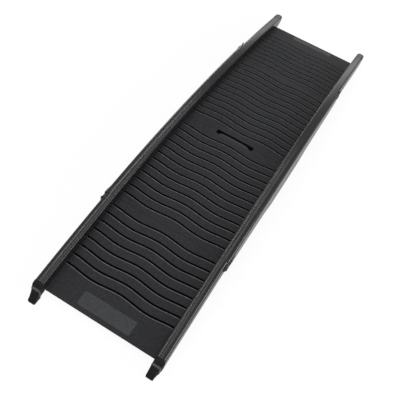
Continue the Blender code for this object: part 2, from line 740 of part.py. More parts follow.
def hinge_pin(side):
    name = f"hinge_pin_{'right' if side > 0 else 'left'}"
    place = side * HINGE_PLACE
    end = HINGE_LENGTH / 2 + GAP
    radii = [(-end - PIN_HEAD, PIN_HEAD_RADIUS), (-end, PIN_HEAD_RADIUS), (-end, PIN_RADIUS),
             (end, PIN_RADIUS), (end, PIN_HEAD_RADIUS), (end + PIN_HEAD, PIN_HEAD_RADIUS)]
    sections = []
    for x, radius in radii:
        ring = []
        for i in range(ROUND_STEPS):
            angle = 2 * math.pi * (i + 0.5) / ROUND_STEPS
            ring.append((place + x, radius * math.cos(angle), HINGE_HEIGHT + radius * math.sin(angle)))
        sections.append(ring)
    bm = bmesh.new()
    add_sweep(bm, sections)
    return add_object(name, bm, "hinge_steel")


# ---------------------------------------------------------------- carry handle
def handle_pivot():
    return (0.0, -HANDLE_PIVOT_BACK, deck_height(0) - HANDLE_PIVOT_DOWN)


def handle_lugs():
    """Two lugs moulded under the near middle panel that hold the handle's pin."""
    solids = []
    pivot = handle_pivot()
    for side in (-1, 1):
        bm = bmesh.new()
        inner = GRIP_LENGTH / 2 + 2 * GAP
        u0, u1 = sorted((side * inner, side * (inner + HANDLE_LUG)))
        top = deck_height(FIRST_CROSS_RIB) - DECK_PLATE / 2
        add_box(bm, u0, u1, pivot[1] - LUG_HALF, pivot[1] + LUG_HALF, pivot[2] - LUG_HALF, top)
        solids.append(bm)
        web = bmesh.new()
        add_box(web, u0, u1, -FIRST_CROSS_RIB, pivot[1], pivot[2] + LUG_WEB_RISE, top)
        solids.append(web)
    return solids


def carry_handle():
    """Bail handle: a grip that lies flush in the slot, on two arms that turn on the pin."""
    pivot = handle_pivot()
    top = deck_height(0)
    low = top - GRIP_HEIGHT
    back = -SLOT_NEAR + GRIP_CLEAR
    soft, part, ease = GRIP_ROUND, GRIP_ROUND * 0.3, GRIP_EASE
    sections = []
    for x in steps(-GRIP_LENGTH / 2, GRIP_LENGTH / 2, 12):
        edge = -GRIP_CLEAR - GRIP_BOW * abs(2 * x / GRIP_LENGTH) ** 4
        outline = [(back, top - ease), (back + ease, top), (edge - soft, top), (edge - part, top - part),
                   (edge, top - soft), (edge, low + soft), (edge - part, low + part),
                   (edge - soft, low), (back + ease, low), (back, low + ease)]
        sections.append([(x, y, z) for y, z in outline])
    bm = bmesh.new()
    add_sweep(bm, sections)
    handle = add_object("carry_handle", bm, "handle_plastic")
    for side in (-1, 1):
        u0, u1 = sorted((side * (GRIP_LENGTH / 2 - HANDLE_ARM), side * GRIP_LENGTH / 2))
        arm = bmesh.new()
        _, y, z = pivot
        into = low + ease * 3
        profile = [(y - ARM_HALF, z), (y - ARM_HALF * 0.67, z - ARM_END * 0.7), (y, z - ARM_END),
                   (y + ARM_HALF * 0.67, z - ARM_END * 0.7), (y + ARM_HALF, z),
                   (back + ease * 5.8, into), (back + ease * 0.8, into)]
        add_sweep(arm, [[(u, *point) for point in profile] for u in (u0, u1)])
        boolean(handle, add_cutter(f"handle_arm_{side}", arm), "UNION")
    bore = bmesh.new()
    add_rod(bore, pivot, 0, HANDLE_PIN_RADIUS + GAP, -GRIP_LENGTH, GRIP_LENGTH)
    boolean(handle, add_cutter("handle_bore", bore), "DIFFERENCE")
    return handle


def handle_pin():
    bm = bmesh.new()
    reach = GRIP_LENGTH / 2 + HANDLE_LUG + HANDLE_PIN_PAST
    add_rod(bm, handle_pivot(), 0, HANDLE_PIN_RADIUS, -reach, reach)
    return add_object("handle_pin", bm, "hinge_steel")


# ---------------------------------------------------------------- clips at the panel joints
def clip_pivot(side):
    """Pivot of a clip in its half's frame."""
    s = RAIL_SEAM + CLIP_PIVOT
    middle = (s + RAIL_SEAM - CLIP_TIP) / 2
    u = HALF_WIDTH + END_RAIL_WIDTH + CLIP_STAND + CLIP_EYE
    return (side * u, s, deck_height(middle) + RAIL_HEIGHT - CLIP_DROP)


def clip_bracket(half, side):
    """Two ears on the end rail with the clip's pin between them."""
    name = f"{half}_clip_bracket_{half_side(half, side)}"
    u, s, z = clip_pivot(side)
    face = HALF_WIDTH + END_RAIL_WIDTH + GAP
    outer = abs(u) + CLIP_EYE
    bm = bmesh.new()
    u0, u1 = sorted((side * face, side * (face + CLIP_BASE)))
    low, high = z - CLIP_HEIGHT / 2 - CLIP_EAR, z + CLIP_HEIGHT / 2 + CLIP_EAR
    add_box(bm, u0, u1, s - CLIP_BASE_HALF, s + CLIP_BASE_HALF, low - CLIP_FLANGE, low + CLIP_EAR)
    bracket = add_object(name, bm, "clip_plastic", half)
    for number, z0 in enumerate((low, high - CLIP_EAR)):
        ear = bmesh.new()
        e0, e1 = sorted((side * face, side * outer))
        add_box(ear, e0, e1, s - CLIP_EAR_HALF, s + CLIP_EAR_HALF, z0, z0 + CLIP_EAR)
        boolean(bracket, add_cutter(f"{name}_ear_{number}", ear, half), "UNION")
    pin = bmesh.new()
    add_rod(pin, (u, s, z), 2, CLIP_PIN, low + CLIP_EAR / 2, high - CLIP_EAR / 2, count=SCREW_STEPS)
    boolean(bracket, add_cutter(name + "_pin", pin, half), "UNION")
    return bracket


def clip_lever(half, side):
    """The lever that reaches from its bracket over the joint, with a window that drops over the catch."""
    name = f"{half}_clip_lever_{half_side(half, side)}"
    u, s, z = clip_pivot(side)
    tall = CLIP_HEIGHT / 2 - GAP
    beside = HALF_WIDTH + END_RAIL_WIDTH + CLIP_STAND
    over = RAMP_WIDTH / 2 + CLIP_STAND
    jog = RAIL_SEAM + CLIP_STAND + GAP / 2
    tip = RAIL_SEAM - CLIP_TIP
    back, top = beside + CLIP_THICKNESS, over + CLIP_OVER
    profile = [
        (beside, s), (back, s), (back, jog + 1.5 * CLIP_THICKNESS), (top, jog), (top, tip + CLIP_LIP_LENGTH),
        (top + CLIP_LIP, tip + CLIP_LIP_CREST), (top, tip), (over, tip), (over, jog),
        (beside, jog + CLIP_THICKNESS / 3),
    ]
    bm = bmesh.new()
    add_sweep(bm, [[(side * across, along, z + h) for across, along in profile] for h in (-tall, tall)])
    lever = add_object(name, bm, "clip_plastic", half)
    eye = bmesh.new()
    add_rod(eye, (u, s, z), 2, CLIP_EYE, z - tall, z + tall, count=SCREW_STEPS)
    boolean(lever, add_cutter(name + "_eye", eye, half), "UNION")
    bore = bmesh.new()
    add_rod(bore, (u, s, z), 2, CLIP_PIN + GAP, z - CLIP_HEIGHT, z + CLIP_HEIGHT, count=SCREW_STEPS)
    boolean(lever, add_cutter(name + "_bore", bore, half), "DIFFERENCE")
    window = bmesh.new()
    room = tall - CLIP_FRAME + GAP
    start = RAIL_SEAM - CATCH_FACE - CLIP_STAND
    u0, u1 = sorted((side * (over - CLIP_OVER), side * (over + 2 * CLIP_OVER)))
    add_box(window, u0, u1, start, start + CATCH_LENGTH + 2 * CLIP_STAND, z - room, z + room)
    boolean(lever, add_cutter(name + "_window", window, half), "DIFFERENCE")
    return lever


# ---------------------------------------------------------------- splices and screws
def splice(half):
    """Plate under the joint of a middle and an end panel."""
    bm = bmesh.new()
    reach = HALF_WIDTH - FLANGE - SPLICE_SIDE_ROOM
    sections = []
    for s in steps(DECK_SEAM - SPLICE_LENGTH / 2, DECK_SEAM + SPLICE_LENGTH / 2, 3):
        high = deck_height(s) - DECK_PLATE - GAP
        low = high - SPLICE_THICKNESS
        sections.append([(-reach, s, low), (reach, s, low), (reach, s, high), (-reach, s, high)])
    add_sweep(bm, sections)
    return add_object(f"{half}_splice_plate", bm, "deck_plastic", half)


def add_screw(bm, point, axis, direction, through):
    """A pan-head screw: its head is on the near side of the point and its shank goes on along the axis."""
    tip = list(point)
    tip[axis] += direction * (through + SCREW_BITE)
    head = point[axis] - direction * (SCREW_HEAD_HEIGHT + GAP)
    seat = point[axis] - direction * GAP
    across = [i for i in range(3) if i != axis]
    sections = []
    brim = head + direction * SCREW_HEAD_HEIGHT * 0.5
    for along, radius in ((head, SCREW_HEAD * 0.75), (brim, SCREW_HEAD), (seat, SCREW_HEAD),
                          (seat, SCREW_RADIUS), (tip[axis], SCREW_RADIUS * 0.9)):
        ring = []
        for i in range(SCREW_STEPS):
            angle = 2 * math.pi * (i + 0.5) / SCREW_STEPS
            place = list(point)
            place[axis] = along
            place[across[0]] += radius * math.cos(angle)
            place[across[1]] += radius * math.sin(angle)
            ring.append(place)
        sections.append(ring)
    add_sweep(bm, sections)


def rail_screw_points(s0, s1):
    """Rail screws in a half's frame: (side, point on the flange's inner face)."""
    points = []
    for s in RAIL_SCREW_PLACES:
        if s0 < s < s1:
            for side in (-1, 1):
                u = side * (HALF_WIDTH - GAP - FLANGE)
                points.append((side, (u, s, deck_height(s) - RAIL_SCREW_DROP)))
    return points


def rail_screw_cutter(name, half, s0, s1):
    bm = bmesh.new()
    reach = FLANGE + RAIL_WALL + 2 * GAP
    for side, (u, s, z) in rail_screw_points(s0, s1):
        ends = sorted((u - side * 0.002, u + side * (reach + 0.002)))
        add_rod(bm, (u, s, z), 0, SCREW_RADIUS + GAP, *ends, count=SCREW_STEPS)
    return add_cutter(name + "_rail_screw_holes", bm, half)


def leaf_screw_points(half):
    turn = TURN[half]
    y = turn * (GAP / 2 + FOLD_BEAM + GAP + LEAF_THICKNESS)
    places = []
    for side in (-1, 1):
        for spread in (-LEAF_SCREW_SPREAD, LEAF_SCREW_SPREAD):
            places.append((side * HINGE_PLACE + spread, y, LEAF_SCREW_HEIGHT))
    return places


def leaf_screw_cutter(name, half):
    bm = bmesh.new()
    turn = TURN[half]
    for x, y, z in leaf_screw_points(half):
        stop = y - turn * (LEAF_THICKNESS + SCREW_BITE / 2 + GAP)
        add_rod(bm, (x, y, z), 1, SCREW_RADIUS + GAP, *sorted((y + turn * 0.002, stop)), count=SCREW_STEPS)
    return add_cutter(name + "_leaf_screw_holes", bm)


def rail_screws(half):
    count = {"left": 0, "right": 0}
    for side, point in rail_screw_points(0, HALF_DECK):
        bm = bmesh.new()
        add_screw(bm, point, 0, side, FLANGE)
        where = half_side(half, side)
        count[where] += 1
        add_object(f"{half}_rail_screw_{where}_{count[where]}", bm, "screw_steel", half)


def leaf_screws(half):
    for number, point in enumerate(leaf_screw_points(half)):
        bm = bmesh.new()
        add_screw(bm, point, 1, -TURN[half], LEAF_THICKNESS - SCREW_BITE / 2)
        where = "right" if point[0] > 0 else "left"
        add_object(f"{half}_hinge_screw_{where}_{number % 2 + 1}", bm, "screw_steel")


def build():
    for half in TURN:
        middle_panel(half)
        end_panel(half)
        splice(half)
        rail_screws(half)
        leaf_screws(half)
        for side in (-1, 1):
            middle_rail(half, side)
            end_rail(half, side)
            clip_bracket(half, side)
            clip_lever(half, side)
            hinge_leaf(half, side)
    for side in (-1, 1):
        near_foot(side)
        far_tip(side)
        far_pad(side)
        hinge_pin(side)
    carry_handle()
    handle_pin()


for old in list(bpy.data.objects):
    bpy.data.objects.remove(old)
build()
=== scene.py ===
"""Looks for the folding dog ramp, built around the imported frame. Metres, +Z up, the far end at +Y."""

import math

import bmesh
import bpy
from mathutils import Matrix, Vector


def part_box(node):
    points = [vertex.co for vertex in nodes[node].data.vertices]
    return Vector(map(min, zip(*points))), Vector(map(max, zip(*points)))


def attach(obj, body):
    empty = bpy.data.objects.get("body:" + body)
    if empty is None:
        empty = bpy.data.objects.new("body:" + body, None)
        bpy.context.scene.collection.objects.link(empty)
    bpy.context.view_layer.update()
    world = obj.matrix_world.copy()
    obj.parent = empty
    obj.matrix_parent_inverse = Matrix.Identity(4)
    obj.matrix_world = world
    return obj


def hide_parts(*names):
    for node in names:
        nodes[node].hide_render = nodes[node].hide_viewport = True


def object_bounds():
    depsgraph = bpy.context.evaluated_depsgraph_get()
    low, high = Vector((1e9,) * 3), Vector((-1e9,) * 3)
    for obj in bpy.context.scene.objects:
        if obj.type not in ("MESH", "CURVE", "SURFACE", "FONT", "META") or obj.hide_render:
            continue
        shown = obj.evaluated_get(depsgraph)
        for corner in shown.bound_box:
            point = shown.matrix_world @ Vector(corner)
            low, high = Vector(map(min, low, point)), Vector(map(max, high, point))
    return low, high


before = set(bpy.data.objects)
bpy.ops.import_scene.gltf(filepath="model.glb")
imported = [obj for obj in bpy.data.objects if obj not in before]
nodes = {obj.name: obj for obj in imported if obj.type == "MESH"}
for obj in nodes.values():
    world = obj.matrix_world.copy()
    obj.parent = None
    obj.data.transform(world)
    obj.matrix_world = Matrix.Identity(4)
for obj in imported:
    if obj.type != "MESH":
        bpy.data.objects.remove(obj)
cad_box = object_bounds()

# ---------------------------------------------------------------- sizes, read from the frame
GAP = 0.0003
middle_low, middle_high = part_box("far_middle_panel")
end_low, end_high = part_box("far_end_panel")
HALF_WIDTH = middle_high.x + GAP
HALF_DECK = end_high.y
DECK_SEAM = (middle_high.y + end_low.y) / 2
CROWN = middle_high.z
ARCH = (CROWN - end_high.z) / end_low.y ** 2
RAIL_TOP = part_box("far_middle_rail_left")[1].z - CROWN
RAIL_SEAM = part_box("far_middle_rail_left")[1].y + GAP / 2
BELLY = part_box("far_middle_rail_left")[0].z
RAMP_REACH = cad_box[1].y
END_RAIL_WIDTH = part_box("far_end_rail_right")[1].x - HALF_WIDTH
MIDDLE_RAIL_WIDTH = 0.0315
NEAR_RAIL_END = -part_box("near_end_rail_left")[0].y
FAR_RAIL_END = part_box("far_end_rail_left")[1].y

SKIN = 0.0028               # thickness of the walking surface above the ribbed structure
GROOVE_PITCH = 0.0300
FIRST_GROOVE = 0.0405
MIDDLE_GROOVES = 12
END_GROOVE_START = 0.0255
END_GROOVES = 8
WAVE_HEIGHT = 0.0035
WAVE_COUNT = 2
WAVE_STEPS = 96
SLOT_WIDTH = 0.132
SLOT_REACH = {"near": 0.0110, "far": 0.0075}
RAIL_WALL = 0.0030
INNER_WALL_DROP = 0.0140
OUTER_ROUND = 0.0075
INNER_ROUND = 0.0030
RAIL_CROWN = 0.0020
RAIL_EDGE = 0.0005          # bevel of a rail's edges
FOLD_PLATE_EDGE = 0.0004    # how far the plate that closes a rail at the fold lies inside its outline
FOLD_PLATE_LIFT = 0.0015    # and above its belly
CATCH = (0.0040, 0.0050, 0.0018)     # catch: start past the lever's tip, length, rise
GUARD = (-0.0008, -0.0270, 0.0020)   # guard ramp before the tip, the same way
CATCH_INSET = 0.0018        # half height of the catch below the lever's
RAMP_EASE = 0.0005
FOOT_SPREAD = 0.0006        # a boot's growth past the rail's inner wall
FOOT_INSET = 0.0066         # and its inset at the outer wall
HEEL_BACK = 0.0230
TOE_BACK = 0.0035
TREAD_DEPTH = 0.0007
CROSS_RIB_PITCH = 0.0036
CROSS_RIB_DEPTH = 0.0006
BAND_SWELL = 0.0008
TOE_ROUND = 0.0030
BELLY_FLAT = 0.090
BELLY_SHOULDER = 0.180
SHOULDER_HEIGHT = 0.0310
SEAM_WALL_HEIGHT = 0.0455
END_WALL_HEIGHT = 0.0120
TURN = {"near": -1, "far": 1}


def deck_height(s):
    return CROWN - ARCH * s * s


def smooth(t):
    t = min(max(t, 0.0), 1.0)
    return t * t * (3 - 2 * t)


def wall_bottom(s):
    if s < BELLY_SHOULDER:
        share = smooth((s - BELLY_FLAT) / (BELLY_SHOULDER - BELLY_FLAT))
        return BELLY + (SHOULDER_HEIGHT - BELLY) * share
    if s < RAIL_SEAM:
        share = (s - BELLY_SHOULDER) / (RAIL_SEAM - BELLY_SHOULDER)
        return SHOULDER_HEIGHT + (SEAM_WALL_HEIGHT - SHOULDER_HEIGHT) * share
    share = (s - RAIL_SEAM) / (HALF_DECK - RAIL_SEAM)
    return SEAM_WALL_HEIGHT + (END_WALL_HEIGHT - SEAM_WALL_HEIGHT) * share ** 1.1


def steps(start, stop, count):
    return [start + (stop - start) * i / count for i in range(count + 1)]


# ---------------------------------------------------------------- materials
def new_material(name):
    made = bpy.data.materials.new(name)
    made.use_nodes = True
    tree = made.node_tree
    return made, tree, tree.nodes["Principled BSDF"]


def add_node(tree, kind, **inputs):
    node = tree.nodes.new(kind)
    for name, value in inputs.items():
        node.inputs[name.replace("_", " ")].default_value = value
    return node


def object_coordinates(tree, stretch=(1, 1, 1)):
    coords = tree.nodes.new("ShaderNodeTexCoord")
    mapping = tree.nodes.new("ShaderNodeMapping")
    mapping.inputs["Scale"].default_value = stretch
    tree.links.new(coords.outputs["Object"], mapping.inputs["Vector"])
    return mapping.outputs["Vector"]


def noise(tree, vector, scale, detail=3.0, roughness=0.55):
    node = add_node(tree, "ShaderNodeTexNoise", Scale=scale, Detail=detail, Roughness=roughness)
    tree.links.new(vector, node.inputs["Vector"])
    return node.outputs["Fac"]


def ramp(tree, fac, stops):
    node = tree.nodes.new("ShaderNodeValToRGB")
    elements = node.color_ramp.elements
    while len(elements) < len(stops):
        elements.new(0.5)
    for element, (position, colour) in zip(elements, stops):
        element.position = position
        element.color = colour if len(colour) == 4 else (*colour, 1.0)
    tree.links.new(fac, node.inputs["Fac"])
    return node.outputs["Color"]


def mix_colour(tree, fac, a, b, blend="MIX"):
    node = tree.nodes.new("ShaderNodeMix")
    node.data_type = "RGBA"
    node.blend_type = blend
    for socket, value in ((node.inputs["Factor"], fac), (node.inputs[6], a), (node.inputs[7], b)):
        if hasattr(value, "links"):
            tree.links.new(value, socket)
        elif isinstance(value, tuple):
            socket.default_value = (*value, 1.0)
        else:
            socket.default_value = value
    return node.outputs[2]


def map_range(tree, value, low, high, to_low, to_high):
    node = add_node(tree, "ShaderNodeMapRange")
    for index, number in enumerate((low, high, to_low, to_high), start=1):
        node.inputs[index].default_value = number
    tree.links.new(value, node.inputs[0])
    return node.outputs[0]


def bump(tree, height, strength, distance, normal=None):
    node = add_node(tree, "ShaderNodeBump", Strength=strength, Distance=distance)
    tree.links.new(height, node.inputs["Height"])
    if normal:
        tree.links.new(normal, node.inputs["Normal"])
    return node.outputs["Normal"]


def moulded_plastic(name, colour, rough, grain=0.00012, grain_scale=1300, specular=0.5, wear=0.35, dust=0.5):
    """Spark-eroded moulded plastic: fine grain, cloudy gloss, rubbed edges and a little dust."""
    made, tree, shader = new_material(name)
    vector = object_coordinates(tree)
    fine = noise(tree, vector, grain_scale, detail=2.0)
    cloud = noise(tree, vector, 9, detail=5.0)
    speck = noise(tree, vector, 260, detail=4.0, roughness=0.7)
    scuff = noise(tree, object_coordinates(tree, (160, 14, 60)), 1.0, detail=4.0, roughness=0.7)
    dark = tuple(c * 0.86 for c in colour)
    light = tuple(c * 1.16 for c in colour)
    base = mix_colour(tree, map_range(tree, cloud, 0.35, 0.65, 0, 1), dark, light)
    mottle = noise(tree, vector, 170, detail=3.0, roughness=0.7)
    deep = tuple(c * 0.62 for c in colour)
    high = tuple(c * 1.45 for c in colour)
    mottled = mix_colour(tree, map_range(tree, mottle, 0.36, 0.64, 0, 1), deep, high)
    base = mix_colour(tree, 0.55, base, mottled)
    pale = tuple(min(1, c * 2.2 + 0.012) for c in colour)
    dusty = ramp(tree, speck, [(0.60, (0, 0, 0)), (0.80, (dust, dust, dust))])
    base = mix_colour(tree, dusty, base, pale)
    geometry = tree.nodes.new("ShaderNodeNewGeometry")
    edge = map_range(tree, geometry.outputs["Pointiness"], 0.53, 0.60, 0, wear)
    base = mix_colour(tree, edge, base, pale)
    tree.links.new(base, shader.inputs["Base Color"])
    gloss = map_range(tree, cloud, 0.3, 0.7, rough - 0.04, rough + 0.05)
    scratched = tree.nodes.new("ShaderNodeMath")
    scratched.operation = "ADD"
    tree.links.new(gloss, scratched.inputs[0])
    tree.links.new(map_range(tree, scuff, 0.6, 0.8, 0.0, 0.10), scratched.inputs[1])
    tree.links.new(scratched.outputs[0], shader.inputs["Roughness"])
    normal = bump(tree, fine, 0.55, grain)
    normal = bump(tree, speck, 0.25, grain * 1.5, normal)
    tree.links.new(normal, shader.inputs["Normal"])
    shader.inputs["Specular IOR Level"].default_value = specular
    return made


def rubber(name, colour):
    made, tree, shader = new_material(name)
    vector = object_coordinates(tree)
    fine = noise(tree, vector, 900, detail=3.0)
    cloud = noise(tree, vector, 40, detail=4.0)
    dark = tuple(c * 0.8 for c in colour)
    light = tuple(c * 1.5 + 0.002 for c in colour)
    base = mix_colour(tree, map_range(tree, cloud, 0.35, 0.7, 0, 1), dark, light)
    tree.links.new(base, shader.inputs["Base Color"])
    tree.links.new(map_range(tree, cloud, 0.3, 0.7, 0.62, 0.82), shader.inputs["Roughness"])
    tree.links.new(bump(tree, fine, 0.6, 0.0002), shader.inputs["Normal"])
    shader.inputs["Specular IOR Level"].default_value = 0.22
    return made


def plated_steel(name, colour, rough):
    made, tree, shader = new_material(name)
    streak = noise(tree, object_coordinates(tree, (20, 900, 900)), 1.0, detail=3.0)
    cloud = noise(tree, object_coordinates(tree), 60, detail=4.0)
    dark = tuple(c * 0.75 for c in colour)
    base = mix_colour(tree, map_range(tree, cloud, 0.35, 0.65, 0, 1), dark, colour)
    tree.links.new(base, shader.inputs["Base Color"])
    tree.links.new(map_range(tree, streak, 0.3, 0.7, rough - 0.08, rough + 0.12), shader.inputs["Roughness"])
    tree.links.new(bump(tree, streak, 0.3, 0.00008), shader.inputs["Normal"])
    shader.inputs["Metallic"].default_value = 1.0
    return made


DECK = moulded_plastic("deck_plastic", (0.0215, 0.0219, 0.0236), 0.50, grain=0.00035, grain_scale=480,
                       specular=0.08)
# Light plastic for the beads beside the grooves: a painted highlight.
LIP_PAINTED_HIGHLIGHT = moulded_plastic("lip_painted_highlight", (0.0820, 0.0830, 0.0850), 0.34, grain=0.00010, grain_scale=900,
                      specular=0.45)
# Near-black plastic for the grooves' walls and bottoms: painted shade.
GROOVE_PAINTED_SHADE = moulded_plastic("groove_painted_shade", (0.0008, 0.0008, 0.0009), 0.85, specular=0.03, wear=0.0, dust=0.1)
RAIL = moulded_plastic("rail_plastic", (0.0105, 0.0109, 0.0121), 0.20, grain=0.000015, grain_scale=700,
                       specular=0.42, dust=0.12)
HANDLE = moulded_plastic("handle_plastic", (0.0180, 0.0184, 0.0196), 0.48, specular=0.30)
CLIP = moulded_plastic("clip_plastic", (0.0070, 0.0070, 0.0076), 0.36, grain=0.00006, specular=0.36)
LABEL = moulded_plastic("label_plastic", (0.0330, 0.0340, 0.0375), 0.46, grain=0.00008, specular=0.20)
RUBBER = rubber("foot_rubber", (0.006, 0.006, 0.0065))
# Darker rubber for the collar on the rolled rail end: painted shade.
COLLAR_PAINTED_SHADE = rubber("collar_painted_shade_rubber", (0.004, 0.004, 0.0045))
# Light plastic for the raised band: a painted highlight.
BAND_PAINTED_HIGHLIGHT = moulded_plastic("foot_band_painted_highlight", (0.050, 0.051, 0.053), 0.36)
STEEL = plated_steel("hinge_steel", (0.50, 0.50, 0.52), 0.34)
SCREW = plated_steel("screw_steel", (0.60, 0.60, 0.62), 0.28)


# ---------------------------------------------------------------- mesh helpers
def add_piece(name, bm, materials, body, replaced=(), smooth_angle=35, turn=1):
    """Turn a bmesh built in a half's frame into place and make it a piece of the ramp."""
    if turn < 0:
        for vert in bm.verts:
            vert.co.x *= -1
            vert.co.y *= -1
    bmesh.ops.recalc_face_normals(bm, faces=bm.faces)
    mesh = bpy.data.meshes.new(name)
    bm.to_mesh(mesh)
    bm.free()
    mesh.shade_smooth()
    mesh.set_sharp_from_angle(angle=math.radians(smooth_angle))
    for material in materials:
        mesh.materials.append(material)
    piece = bpy.data.objects.new(name, mesh)
    bpy.context.scene.collection.objects.link(piece)
    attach(piece, body)
    if replaced:
        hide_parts(*replaced)
    return piece


def apply_modifiers(piece):
    """Bake a piece's modifiers into its mesh."""
    graph = bpy.context.evaluated_depsgraph_get()
    mesh = bpy.data.meshes.new_from_object(piece.evaluated_get(graph))
    piece.modifiers.clear()
    piece.data = mesh


def cut(piece, bm):
    """Take a throwaway solid away from a piece."""
    bmesh.ops.recalc_face_normals(bm, faces=bm.faces)
    mesh = bpy.data.meshes.new("cutter")
    bm.to_mesh(mesh)
    bm.free()
    tool = bpy.data.objects.new("cutter", mesh)
    bpy.context.scene.collection.objects.link(tool)
    modifier = piece.modifiers.new("cut", "BOOLEAN")
    modifier.operation = "DIFFERENCE"
    modifier.object = tool
    modifier.solver = "EXACT"
    apply_modifiers(piece)
    bpy.data.objects.remove(tool)


def bevel_edges(piece, width, segments=3, angle=40):
    modifier = piece.modifiers.new("edges", "BEVEL")
    modifier.width = width
    modifier.segments = segments
    modifier.limit_method = "ANGLE"
    modifier.angle_limit = math.radians(angle)
    modifier.harden_normals = True
    modifier.use_clamp_overlap = True


def add_box(bm, x0, x1, y0, y1, z0, z1):
    corners = [(x0, y0), (x1, y0), (x1, y1), (x0, y1)]
    low = [bm.verts.new((x, y, z0)) for x, y in corners]
    high = [bm.verts.new((x, y, z1)) for x, y in corners]
    bm.faces.new(list(reversed(low)))
    bm.faces.new(high)
    for i in range(4):
        j = (i + 1) % 4
        bm.faces.new((low[i], low[j], high[j], high[i]))


def add_sweep(bm, sections):
    """Skin closed sections that have the same number of points, and cap both ends."""
    rings = [[bm.verts.new(point) for point in section] for section in sections]
    count = len(rings[0])
    for a, b in zip(rings, rings[1:]):
        for i in range(count):
            j = (i + 1) % count
            bm.faces.new((a[i], a[j], b[j], b[i]))
    bm.faces.new(list(reversed(rings[0])))
    bm.faces.new(rings[-1])


def arc(cx, cz, radius, start, stop, count):
    """Points on an arc, angles in degrees from +u towards +z."""
    points = []
    for angle in steps(math.radians(start), math.radians(stop), count):
        points.append((cx + radius * math.cos(angle), cz + radius * math.sin(angle)))
    return points


# ---------------------------------------------------------------- deck
# Deck finishes: plain deck, painted shade in the grooves, painted highlight on the beads.
PLAIN, PAINTED_SHADE_FINISH, PAINTED_HIGHLIGHT_FINISH = 0, 1, 2
# A groove's section, from its far wall to the bead along its near lip: (across, drop, finish) in metres. The
# finish colours the groove's walls and bottom near black as painted shade, and the bead light as a painted
# highlight.
GROOVE_PROFILE = [
    (-0.0056, 0.00000, PLAIN), (-0.0046, 0.00006, PLAIN), (-0.0038, 0.00018, PLAIN),
    (-0.0034, 0.00034, PLAIN), (-0.0031, 0.00070, PAINTED_SHADE_FINISH), (-0.0028, 0.00120, PAINTED_SHADE_FINISH),
    (-0.0025, 0.00195, PAINTED_SHADE_FINISH), (-0.0021, 0.00230, PAINTED_SHADE_FINISH), (0.0016, 0.00230, PAINTED_SHADE_FINISH),
    (0.0020, 0.00195, PAINTED_SHADE_FINISH), (0.0023, 0.00100, PAINTED_SHADE_FINISH), (0.0026, 0.00034, PAINTED_SHADE_FINISH),
    (0.0028, 0.00006, PLAIN), (0.0031, -0.00014, PAINTED_HIGHLIGHT_FINISH), (0.0036, -0.00036, PAINTED_HIGHLIGHT_FINISH),
    (0.0042, -0.00048, PAINTED_HIGHLIGHT_FINISH), (0.0048, -0.00042, PAINTED_HIGHLIGHT_FINISH), (0.0052, -0.00028, PLAIN),
    (0.0056, -0.00010, PLAIN), (0.0060, 0.00000, PLAIN),
]
GROOVE_LEAN = 0.0020        # how far the cut leans towards the ramp's near end
EDGE_PROFILE = [(0.0, 0.00090), (0.00012, 0.00045), (0.00035, 0.00018), (0.0007, 0.00004), (0.0012, 0.0)]


def groove_line(mean, u):
    return mean - WAVE_HEIGHT * math.cos(2 * math.pi * WAVE_COUNT * u / (2 * HALF_WIDTH))


def deck_skin(half, part, s0, s1, grooves):
    """The walking surface of a panel, with soft-lipped wavy grooves and eased ends."""
    reach = HALF_WIDTH - GAP
    us = steps(-reach, reach, WAVE_STEPS)
    rows = []
    profile, lean = GROOVE_PROFILE, GROOVE_LEAN
    if half == "far":
        lean = -GROOVE_LEAN
        profile = [(-across, drop, finish) for across, drop, finish in reversed(GROOVE_PROFILE)]
    for inset, drop in EDGE_PROFILE:
        rows.append(([s0 + inset] * len(us), drop, PLAIN))
    for mean in grooves:
        for across, drop, finish in profile:
            rows.append(([groove_line(mean + across + lean, u) for u in us], drop, finish))
    for inset, drop in reversed(EDGE_PROFILE):
        rows.append(([s1 - inset] * len(us), drop, PLAIN))
    bm = bmesh.new()
    top = []
    for line, drop, _ in rows:
        top.append([bm.verts.new((u, s, deck_height(s) - drop)) for u, s in zip(us, line)])
    for k in range(len(rows) - 1):
        finish = rows[k][2] if rows[k][2] == rows[k + 1][2] else 0
        for i in range(WAVE_STEPS):
            face = bm.faces.new((top[k][i], top[k][i + 1], top[k + 1][i + 1], top[k + 1][i]))
            face.material_index = finish
    low = [[bm.verts.new((u, s, deck_height(s) - SKIN)) for u in (-reach, reach)] for s in steps(s0, s1, 24)]
    for a, b in zip(low, low[1:]):
        bm.faces.new((a[1], a[0], b[0], b[1]))
    for column, side in ((0, 0), (-1, 1)):
        bm.faces.new([row[column] for row in top] + [row[side] for row in reversed(low)])
    bm.faces.new(top[0] + [low[0][1], low[0][0]])
    bm.faces.new(top[-1] + [low[-1][1], low[-1][0]])
    name = f"{half}_{part}_panel"
    # The grooves take the painted shade and the beads the painted highlight.
    finishes = [DECK, GROOVE_PAINTED_SHADE, LIP_PAINTED_HIGHLIGHT]
    return add_piece(f"{name}_skin", bm, finishes, f"{half}_half", (name,), 50, TURN[half])


def slot_solid(half):
    """The hand slot's share in one half, with rounded corners."""
    bm = bmesh.new()
    round_corner = 0.0025
    width = SLOT_WIDTH / 2
    reach = SLOT_REACH[half]
    outline = [(-width, -0.01), (width, -0.01)]
    outline += arc(width - round_corner, reach - round_corner, round_corner, 0, 90, 5)
    outline += arc(-width + round_corner, reach - round_corner, round_corner, 90, 180, 5)
    sections = [[(u * TURN[half], s * TURN[half], z) for u, s in outline] for z in (0.05, CROWN + 0.01)]
    add_sweep(bm, sections)
    return bm


